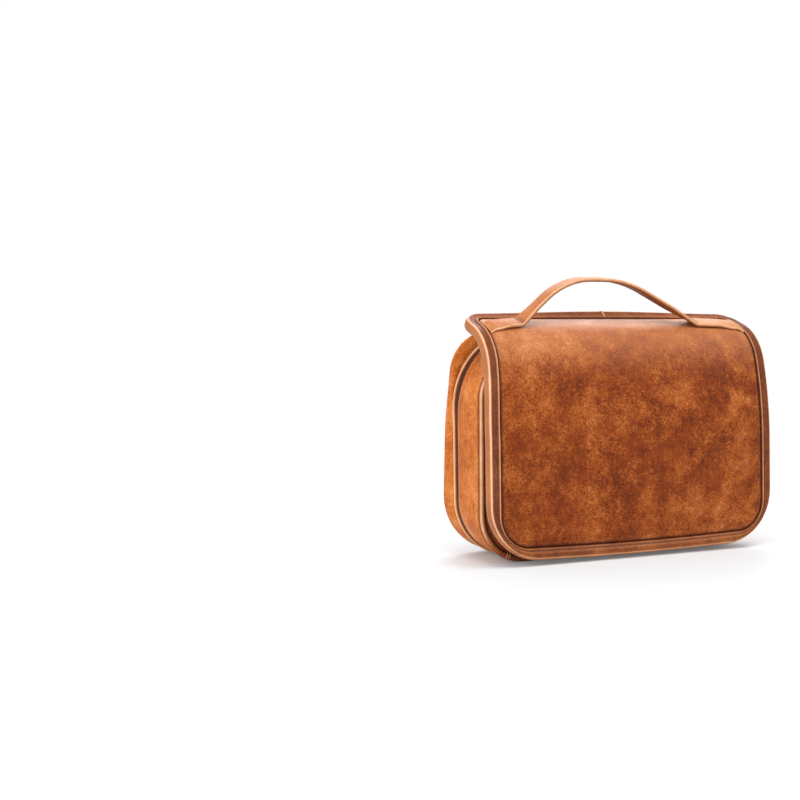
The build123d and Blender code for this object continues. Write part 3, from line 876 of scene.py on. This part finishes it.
piping_line = [
    (front_place(spot.x, spot.y), outward(facing)) for spot, facing in front_loop(piping_radius)
]
piping = tube("front_piping_cord", piping_line, piping_radius, crown=Vector((0, -0.9, 0)))
dress(piping, edge_leather, "front_shell", "edge_leather", "front_piping")

# %% [markdown]
# The cord's two ends overlap low on the left side, where a binding of two narrow turns of leather
# holds them. It peeps out under the cover's corner.

# %% Piping join
join_place = front_place(-107 * MM, 6 * MM)
join_index = min(
    range(len(piping_line)), key=lambda index: (piping_line[index][0] - join_place).length
)
place, out = piping_line[join_index]
along = (piping_line[join_index + 1][0] - place).normalized()
side = along.cross(out).normalized()
for label, shift in (("low", -1.2 * MM), ("high", 1.2 * MM)):
    turn_line = []
    for spoke in spokes(out, side, 20):
        slant = along * (shift + 0.9 * MM * spoke.dot(side))
        turn_line.append((place + slant + spoke * (piping_radius - 0.05 * MM), spoke))
    join_turn = tube(f"piping_join_{label}", turn_line, 0.6 * MM, 8)
    dress(join_turn, strap_leather, "front_shell", "edge_leather")
print("front shell pieces:", front_wall.name, front_face.name, piping.name)

# %% [markdown]
# ## The rear shell
# The rear half is shallower, and its leather turns round the back edge in a soft radius before it
# meets the back panel at a sewn seam. The back panel is padded a little by what the bag holds.
# It is built from the same kind of loops as the front, so the halves meet along the zipper.

# %% Make the rear shell
rear_rows, edge_steps = 10, 7
zip_ring = zip_edge(0.0, 1)
turn_ring = placed(rear_loop(), rear_place, rear_edge_radius)
# The turned lip: darkened with painted shade in the zipper's gap, pale from wear and a painted
# highlight at its fold.
rings = lip_rings(1, [
    (2.4, 0.2, 0.0, 1.0), (1.0, 0.45, 0.1, 0.5), (-0.2, 0.4, 0.8, 0.0), (-0.8, -0.2, 1.0, 0.0),
    (-0.8, -1.2, 0.5, 0.0), (-0.3, -2.0, 0.0, 0.3),
])
for row in range(2, rear_rows + 1):
    bulge = 0.8 * MM * math.sin(math.pi * row / rear_rows)
    rings.append(wall_ring(zip_ring, turn_ring, row / rear_rows, bulge))
for step in range(1, edge_steps + 1):
    turn = math.pi / 2 * step / edge_steps
    points = rear_loop(rear_edge_radius * (1 - math.cos(turn)))
    rings.append(plain_ring(placed(points, rear_place, rear_edge_radius * (1 - math.sin(turn)))))
# The seam with the back panel is darkened with painted shade.
rings += edge_rings(rear_loop, rear_place, [(9.8, 0.7, 0.1, 0.8), (10.2, 1.6, 0.0, 1.0)])
rear_wall = skin("rear_wall", rings)
dress(rear_wall, gusset_leather, "rear_shell", "gusset_leather", "rear_gusset")

# The last column darkens the back panel's rim at its seam with painted shade.
back_rise = [
    (9.9, 1.6, 0.0, 1.0), (10.4, 0.8, 0.0, 1.0), (11.2, 0.2, 0.1, 0.5), (12.6, -0.1, 0.0, 0.2),
    (15.0, -0.5, 0.0, 0.0), (20.0, -1.1, 0.0, 0.0), (30.0, -1.9, 0.0, 0.0),
]
rear_ripple = (0.5 * MM, 38 * MM, 7.0)
rear_face = padded_face(
    "rear_face", rear_loop, rear_place, back_rise, 16, -0.8 * MM, rear_ripple
)
dress(rear_face, panel_leather, "rear_shell", "panel_leather", "rear_panel")
print("rear shell pieces:", rear_wall.name, rear_face.name)

# %% [markdown]
# ## Linings and the pocket
# Both shells are lined in thin dark cloth, a loose bag in a bag: it follows the wall, turns in at
# the corner and lies over the stiffening board. The rear lining carries a flat pocket whose mouth
# is finished with a hem. A cloth simulation could drape them, but a sewn lining hardly hangs, so
# a slow ripple is enough.

# %% Make the linings
def lining(name, loop_of, place, sign):
    """A tub of cloth from the zipper's edge to the board, one step inside the leather."""
    rings = []
    rim = zip_edge(3.2 * MM, sign, -3.2 * MM)
    foot = placed(loop_of(3.4 * MM), place, sign * 8.7 * MM)
    for row in range(9):
        rings.append(wall_ring(rim, foot, row / 8, -0.6 * MM * math.sin(math.pi * row / 8)))
    corner = [(3.8, 6.9), (5.2, 5.5), (7.5, 4.9), (12.0, 4.7)]
    rings += edge_rings(loop_of, place, [(inset, sign * rise, 0.0, 0.0) for inset, rise in corner])
    for step in range(1, 13):
        ring = []
        for spot, _ in placed(shrink(loop_of(12 * MM), step / 12), place, sign * 4.7 * MM):
            ripple = sign * 0.4 * MM * abs(wander(spot, 30 * MM, 11.0))
            ring.append((spot + Vector((0, ripple, 0)), 0.0, 0.0))
        rings.append(ring)
    return skin(name, rings)


front_lining = lining("front_lining_cloth", front_loop, front_place, -1)
dress(front_lining, lining_cloth, "front_shell", "lining_cloth", "front_lining")
rear_lining = lining("rear_lining_cloth", rear_loop, rear_place, 1)
dress(rear_lining, lining_cloth, "rear_shell", "lining_cloth", "rear_lining")
for sheet, half, high, depth, shell in (
    (front_lining, front_half, front_top, 42 * MM, front_wall),
    (rear_lining, rear_half, rear_top, 28 * MM, rear_wall),
):
    cut = (2 * half + 2 * depth, high + 2 * depth)
    cloth_area = 2 * half * high + 2 * (2 * half + high) * depth
    0.88 * cloth_area

pocket_foot, pocket_mouth = 14 * MM, 112 * MM


def pocket_place(u, v):
    """The pocket's sheet: sewn down at its sides and foot, and slack at its mouth."""
    x, z = pocket_half * (2 * u - 1), pocket_foot + (pocket_mouth - pocket_foot) * v
    side = smooth(min(u, 1 - u) * 7)
    slack = (2.0 + 6.0 * v**0.7) * side * smooth(v * 5)
    ripple = 0.5 * wander((x, 0, z), 26 * MM, 1.0) * v
    return rear_place(x, z, (5.0 + slack + ripple) * MM)


def grid(name, place, columns, rows):
    rings = []
    for row in range(rows + 1):
        rings.append([(place(col / columns, row / rows), 0.0, 0.0) for col in range(columns + 1)])
    return skin(name, rings, closed=False)


pocket = grid("rear_pocket_cloth", pocket_place, 60, 26)
dress(pocket, pocket_cloth, "rear_shell", "pocket_cloth", "rear_pocket")


def hem_sheet(u, v):
    """The hem, a flat roll of cloth round the pocket's mouth."""
    turn = math.pi * 2 * v
    wide, deep = 4.5 * MM, 0.9 * MM
    fold = Vector((0, deep * math.sin(turn) - 0.3 * MM, wide * (math.cos(turn) - 1)))
    return pocket_place(u, 1.0) + fold


pocket_hem = grid("rear_pocket_hem_band", hem_sheet, 60, 12)
dress(pocket_hem, pocket_cloth, "rear_shell", "pocket_cloth", "rear_pocket_hem")
hem_thread = Vector((0, -1.15 * MM, -6.5 * MM))
hem_line = [(pocket_place(step / 60, 1.0) + hem_thread, Vector((0, -1, 0))) for step in range(61)]
hem_stitches = stitches("pocket_hem_stitches", hem_line, closed=False)
dress(hem_stitches, thread, "rear_shell", "pocket_cloth")
print("linings and pocket made")

# %% [markdown]
# ## The zipper
# A coil zipper is two rows of nylon turns, each sewn on its own tape. The tapes show as dark
# bands between the leather edges. The turns are small rounded beads, laid across the tape at a
# fine pitch along the whole loop, from one end on the floor over the top to the other. An array
# on a curve would do as well, but one mesh a row is lighter to export.

# %% Make the zipper
zip_end_x = body_half - zip_radii[0] - 3 * MM
tooth_pitch, tooth_sides = 2.1 * MM, 8
tooth_stations = [(-0.85, 0.35), (-0.7, 0.75), (-0.2, 0.8), (0.5, 0.75), (1.1, 0.55)]


def chain(inset):
    """The zipper's way, from its right end on the floor over the top to its left end."""
    points = zip_loop(inset)
    ordered = points[BOTTOM_STEPS:] + points[:BOTTOM_STEPS]
    down = Vector((0, -1))
    high = [(spot, facing) for spot, facing in ordered if facing.y > -0.999]
    return [(Vector((zip_end_x, inset)), down)] + high + [(Vector((-zip_end_x, inset)), down)]


def tape(name, side, inset):
    rings = []
    for share, sink in ((0.0, 1.3), (0.35, 0.6), (0.6, 0.0), (1.0, 0.0)):
        ring = []
        for spot, _ in chain(inset + sink * MM):
            reach = (half_gap(spot.y) + 3.4 * MM) * (1 - share) + 0.15 * MM * share
            ring.append((Vector((spot.x, zip_y + side * reach, spot.y)), 0.0, 0.0))
        rings.append(ring)
    return skin(name, rings, closed=False)


def coil(name, side, inset):
    """One row of coil turns: beads that reach from the tape to the middle."""
    line = []
    for spot, facing in chain(inset):
        line.append((Vector((spot.x, zip_y + side * 0.95 * MM, spot.y)), outward(facing)))
    vertices, faces = [], []
    for place, along, out in spaced(line, tooth_pitch, closed=False):
        place = place + along * (tooth_pitch * 0.25 * side)
        stations = []
        for reach, girth in tooth_stations:
            stations.append((place + Vector((0, side * reach * MM, 0)), girth * 0.85 * MM))
        add_bead(vertices, faces, stations, along * 0.95, out, tooth_sides, capped=True)
    return mesh_object(name, vertices, faces)


for body, side, node in (("front_shell", -1, "front_zipper"), ("rear_shell", 1, "rear_zipper")):
    tape_piece = tape(f"{body}_zip_tape", side, 2.0 * MM)
    dress(tape_piece, tape_cloth, body, "zipper_coil", node)
    coil_piece = coil(f"{body}_zip_coil", side, 1.25 * MM)
    dress(coil_piece, coil_plastic, body, "zipper_coil")
turn_faces = 1 + (len(tooth_stations) - 1) * tooth_sides
print("coil turns a row:", len(coil_piece.data.polygons) // turn_faces)

# %% [markdown]
# ## Hinge strip and seat
# The two shells are joined along the floor by a leather strip, which bends when the bag is laid
# open. The seat is the sewn strip under the spine that holds the cover on the body.

# %% Make the strip and the seat
strip_low, strip_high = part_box("hinge_strip")
seat_low, seat_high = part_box("spine_seat")
body_slope = 0.645


def hinge_sheet(u, v):
    """A flat loop of leather across the gap between the shells, just over the floor."""
    turn = math.pi * 2 * v
    reach = (rear_zip_y - front_zip_y) / 2 + 0.6 * MM
    x = strip_low.x + (strip_high.x - strip_low.x) * u
    return Vector((x, zip_y + reach * math.cos(turn), 0.75 * MM + 0.6 * MM * math.sin(turn)))


def seat_sheet(u, v):
    """A flattened loop of leather, as high as the gap between the body and the spine."""
    turn = math.pi * 2 * v
    reach = (seat_high.y - seat_low.y) / 2
    y = (seat_low.y + seat_high.y) / 2 + reach * max(-1, min(1, 1.25 * math.cos(turn)))
    x = seat_low.x + (seat_high.x - seat_low.x) * u
    low = seat_low.z + body_slope * (y - seat_low.y) - 0.2 * MM
    high = seat_high.z + math.tan(spine_rise) * (y - seat_high.y) + 0.6 * MM
    share = 0.5 + 0.5 * max(-1, min(1, 1.4 * math.sin(turn)))
    return Vector((x, y, low + (high - low) * share))


hinge = grid("hinge_strip_leather", hinge_sheet, 40, 20)
dress(hinge, gusset_leather, None, "gusset_leather", "hinge_strip")
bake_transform(hinge)
seat = grid("spine_seat_leather", seat_sheet, 30, 32)
dress(seat, gusset_leather, "front_shell", "gusset_leather", "spine_seat")
print("seat height mm:", round((seat_high.z - seat_low.z) * 1000, 1))

# %% [markdown]
# ## The handle
# The strap is one folded and stitched band. Its ends lie flat on the spine, turn up at a crease
# and rise into a low, lopsided arch. The band is swept along that line with a flat, rounded
# section. A bevelled curve could carry the section too, but its twist and its thin ends are easier
# to set row by row.

# %% Handle path
strap_half_width, strap_half_thick = 7.5 * MM, 1.6 * MM
end_x = cover_half - 9.3 * MM
left_root, right_root = -91 * MM, 79 * MM
left_shoulder, right_shoulder = -52.5 * MM, 4 * MM
crest_z, root_z = 229 * MM, 193.5 * MM
shoulder_radii = (60 * MM, 100 * MM)
root_radius = 7 * MM
strap_tilt = math.radians(8)
end_y, root_y = face_y + 29 * MM, face_y + 33 * MM


def spine_z(y, above):
    """The height over the spine's straight rise."""
    base = bend.y + (y - bend.x) * math.tan(spine_rise)
    return base + above / math.cos(spine_rise)


def arch_y(z):
    return root_y + (root_z - z) * math.tan(strap_tilt)


def rounded(points, radii, step=3 * MM):
    """A polyline through corners, each turned with its own radius."""
    made = [points[0]]
    for before, here, after, radius in zip(points, points[1:], points[2:], radii):
        back, ahead = (before - here).normalized(), (after - here).normalized()
        turn = math.pi - back.angle(ahead)
        cut = radius * math.tan(turn / 2)
        centre = here + (back + ahead).normalized() * (radius / math.cos(turn / 2))
        start, end = here + back * cut - centre, here + ahead * cut - centre
        steps = max(4, int(radius * turn / step))
        for count in range(steps + 1):
            made.append(centre + start.slerp(end, count / steps).normalized() * radius)
    return made + points[-1:]


lift = strap_half_thick + 0.2 * MM
corners = [
    Vector((left_pull - end_x, end_y, spine_z(end_y, lift))),
    Vector((left_root, root_y, spine_z(root_y, lift))),
    Vector((left_shoulder, arch_y(crest_z), crest_z)),
    Vector((right_shoulder, arch_y(crest_z), crest_z)),
    Vector((right_root, root_y, spine_z(root_y, lift))),
    Vector((end_x, end_y, spine_z(end_y, lift))),
]
strap_line = rounded(corners, [root_radius, *shoulder_radii, root_radius])

# %% Make the handle
# Rows of width, thickness, paleness and painted shade: the edges are pale from wear and a painted
# highlight, and the groove and the underside are darkened with painted shade.
strap_side = [
    (0.3, 1.05, 0.1, 0.0), (0.72, 1.0, 0.1, 0.0), (0.8, 0.94, 0.0, 0.25), (0.88, 1.0, 0.4, 0.0),
    (0.94, 0.84, 0.9, 0.0), (0.985, 0.5, 0.6, 0.0), (1.0, 0.0, 0.45, 0.0), (0.985, -0.5, 0.1, 0.4),
    (0.93, -0.86, 0.0, 0.9), (0.8, -1.0, 0.0, 0.6), (0.3, -1.0, 0.0, 0.6),
]
strap_section = strap_side + [(-row[0], *row[1:]) for row in reversed(strap_side)]
strap_root = hinge_s - 20 * MM
heights = [tuple(cover_point(0.0, strap_root + step * 0.5 * MM, 0.0))[1:] for step in range(120)]


def cover_height(y):
    """The height of the cover's face at a place along the spine and the bend."""
    for before, after in zip(heights, heights[1:]):
        if after[0] >= y:
            return before[1] + (after[1] - before[1]) * (y - before[0]) / (after[0] - before[0])
    return heights[-1][1]


steps = spaced([(place, None) for place in strap_line], 2 * MM, closed=False)
strap_points = [place for place, _, _ in steps] + strap_line[-1:]
last = len(strap_points) - 1
rings = []
for index, place in enumerate(strap_points):
    along = strap_points[min(last, index + 1)] - strap_points[max(0, index - 1)]
    slope = spine_rise + (strap_tilt - spine_rise) * smooth((place.z - root_z) / (14 * MM))
    out = along.cross(Vector((0, math.cos(slope), math.sin(slope)))).normalized()
    out = out if out.z > 0 else -out
    width = out.cross(along).normalized()
    full = smooth(min(index, last - index) / 3)
    thick_here = strap_half_thick * (0.4 + 0.6 * full)
    laid = smooth((abs(place.x) - 101 * MM) / (14 * MM))
    root = left_root if place.x < 0 else right_root
    # Painted shade in the crease at each root, and a painted sheen on the right tab.
    crease = 0.7 * math.exp(-(((place.x - root) / (1.8 * MM)) ** 2))
    tab_sheen = 0.5 * smooth((place.x - right_root) / (4 * MM))
    ring = []
    for wide, thick, worn, grime in strap_section:
        spot = place + width * (wide * strap_half_width) + out * (thick * thick_here)
        on_cover = cover_height(spot.y) + thick_here * (1 + thick) - (1 - full) * MM
        spot.z += laid * (on_cover - spot.z)
        if thick > 0.9:
            worn, grime = max(worn, tab_sheen), max(grime, crease)
        ring.append((spot, worn, grime))
    rings.append(ring)
strap = skin("handle_strap_leather", rings)
dress(strap, strap_leather, None, "strap_leather")
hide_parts("handle_strap", "handle_end_left", "handle_end_right")
handle_joint = next(j for j in frame["joints"] if j["name"] == "handle_tilt")
pivot = Vector(handle_joint["pos_m"])
rise = Vector((0, 0, 4 * MM))
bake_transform(strap)
strap_length = sum((b - a).length for a, b in zip(strap_points, strap_points[1:]))
print("strap length mm:", round(strap_length * 1000))

# %% [markdown]
# ## Hard parts
# The snaps, the sliders and their pulls and the boards inside have the right shape in the CAD, so
# they stay, and only get a finish.

# %% Finish the CAD parts that stay
for material, nodes in (
    (snap_metal, ("front_snap_left", "front_snap_right", "flap_snap_left", "flap_snap_right")),
    (slider_metal, ("slider_left", "slider_right", "pull_left", "pull_right")),
    (board_grey, ("front_board", "rear_board")),
):
    for node in nodes:
        mesh = frame["nodes"][node].data
        mesh.materials.clear()
        mesh.materials.append(material)
    print(material.name, "on", len(nodes), "parts")

# %% [markdown]
# ## Floor, light and camera
# The photograph shows a white studio. The floor is pale and keeps the bag's soft shadow. A little
# light of its own, for the camera and for reflections only, lifts it to white. More lamp light
# would do that too, but it would bleach the leather. Large soft lamps stand at both sides and
# above, and the world is white to the camera and to reflections. The camera's place and lens
# were fitted to the bag's edges in the photograph.

# %% Floor and world
def shown(recipe):
    """1 for rays of the camera and for reflections, 0 for the light that falls on things."""
    direct = recipe.node("ShaderNodeLightPath", output="Is Camera Ray")
    return recipe.maths("MAXIMUM", direct, direct.beside("Is Glossy Ray"))


floor_reach = 6.0
floor_corners = [
    (x * floor_reach, y * floor_reach, 0) for x, y in ((-1, -1), (1, -1), (1, 1), (-1, 1))
]
floor_mesh = bpy.data.meshes.new("floor")
floor_mesh.from_pydata(floor_corners, [], [(0, 1, 2, 3)])
floor = bpy.data.objects.new("floor", floor_mesh)
floor.location.z = -0.0004
bpy.context.scene.collection.objects.link(floor)
recipe = finish("floor_white")
recipe.set(Base_Color=(0.79, 0.825, 0.845), Roughness=0.6, Specular_IOR_Level=0.2)
glow = recipe.node("ShaderNodeEmission", None, {"Color": (1.0, 1.0, 1.0), "Strength": 1.0})
place = recipe.node("ShaderNodeTexCoord", output="Object")
distance = recipe.node("ShaderNodeVectorMath", {"operation": "LENGTH"}, {0: place}, "Value")
far_in = {"Value": distance, "From Min": 0.3, "From Max": 0.8, "To Min": 0.12, "To Max": 1.0}
far = recipe.node("ShaderNodeMapRange", {"interpolation_type": "SMOOTHSTEP"}, far_in)
plain = Signal(recipe, recipe.shader.outputs[0])
lifted = recipe.node("ShaderNodeMixShader", None, {0: far * shown(recipe), 1: plain, 2: glow})
recipe.feed(recipe.tree.nodes["Material Output"].inputs["Surface"], lifted)
floor_mesh.materials.append(recipe.owner)

world = bpy.data.worlds.new("studio")
bpy.context.scene.world = world
studio = Recipe(world, "Background")
studio.set(Color=(1.0, 1.0, 1.0), Strength=shown(studio) * 0.45 + 0.55)


# %% Lamps and camera
def lamp(name, place, aim, size, watts):
    light = bpy.data.lights.new(name, "AREA")
    light.shape = "RECTANGLE"
    light.size, light.size_y = size
    light.energy = watts
    made = bpy.data.objects.new(name, light)
    made.location = place
    made.rotation_euler = (Vector(aim) - Vector(place)).to_track_quat("-Z", "Y").to_euler()
    bpy.context.scene.collection.objects.link(made)


middle = (0.0, 0.0, 0.11)
lamp("left_box", (-1.3, -0.5, 0.7), middle, (0.9, 0.9), 8)
lamp("right_box", (1.0, -1.1, 0.8), middle, (0.8, 0.8), 4)
lamp("top_box", (-0.2, -0.5, 1.3), middle, (1.2, 0.7), 12)
lamp("back_box", (0.6, 1.0, 1.1), middle, (1.0, 0.7), 11.5)

right = Vector((0.92299145, -0.38453152, -0.01490965))
down = Vector((-0.02562012, -0.02274521, -0.99941296))
forward = Vector((0.38396666, 0.9228316, -0.03084538))
camera_place = Vector((-0.55610, -0.87945, 0.16221))
camera_data = bpy.data.cameras.new("photo_camera")
camera_data.lens = 54.0
camera_data.sensor_width = 36.0
camera = bpy.data.objects.new("photo_camera", camera_data)
turned = Matrix((right, -down, -forward)).transposed().to_4x4()
camera.matrix_world = Matrix.Translation(camera_place) @ turned
bpy.context.scene.collection.objects.link(camera)
bpy.context.scene.camera = camera
bpy.context.scene.view_settings.view_transform = "Standard"
